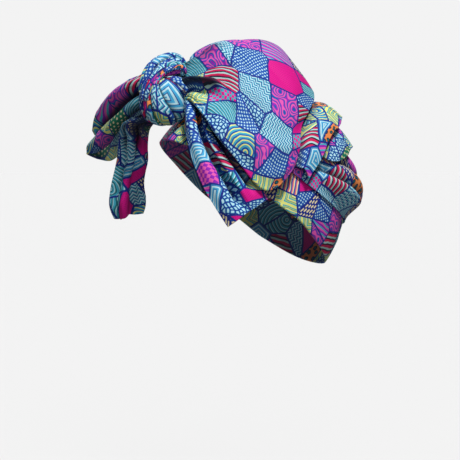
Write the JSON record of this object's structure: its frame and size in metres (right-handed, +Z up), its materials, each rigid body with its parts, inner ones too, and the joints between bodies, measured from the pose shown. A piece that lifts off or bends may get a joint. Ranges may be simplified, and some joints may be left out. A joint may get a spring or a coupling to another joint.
{
  "type": "turban head wrap",
  "caption": "Tied cotton turban head wrap with a front knot, a bow of two loops and two hanging tails, in a bright patchwork print.",
  "frame": {"origin": "middle of the wearer's head, inside the wrap and level with the ears", "axes": "+Z up, the wearer faces -Y, and +X is towards the wearer's left, where the big loop lies"},
  "size_m": [0.2196, 0.2338, 0.2069],
  "materials": {
    "crown_wrap": "matte printed cotton",
    "head_band": "matte printed cotton",
    "knot": "matte printed cotton",
    "roll_outer": "matte printed cotton",
    "roll_inner": "matte printed cotton",
    "bow_loop_left": "matte printed cotton",
    "bow_loop_right": "matte printed cotton",
    "tail_left": "matte printed cotton",
    "tail_right": "matte printed cotton",
    "side_fold_front": "matte printed cotton",
    "side_fold_rear": "matte printed cotton"
  },
  "bodies": {
    "root": {"crown_wrap": "crown_wrap", "head_band": "head_band", "knot": "knot", "roll_outer": "roll_outer", "roll_inner": "roll_inner", "bow_loop_left": "bow_loop_left", "bow_loop_right": "bow_loop_right", "tail_left": "tail_left", "tail_right": "tail_right", "side_fold_front": "side_fold_front", "side_fold_rear": "side_fold_rear"}
  },
  "joints": []
}
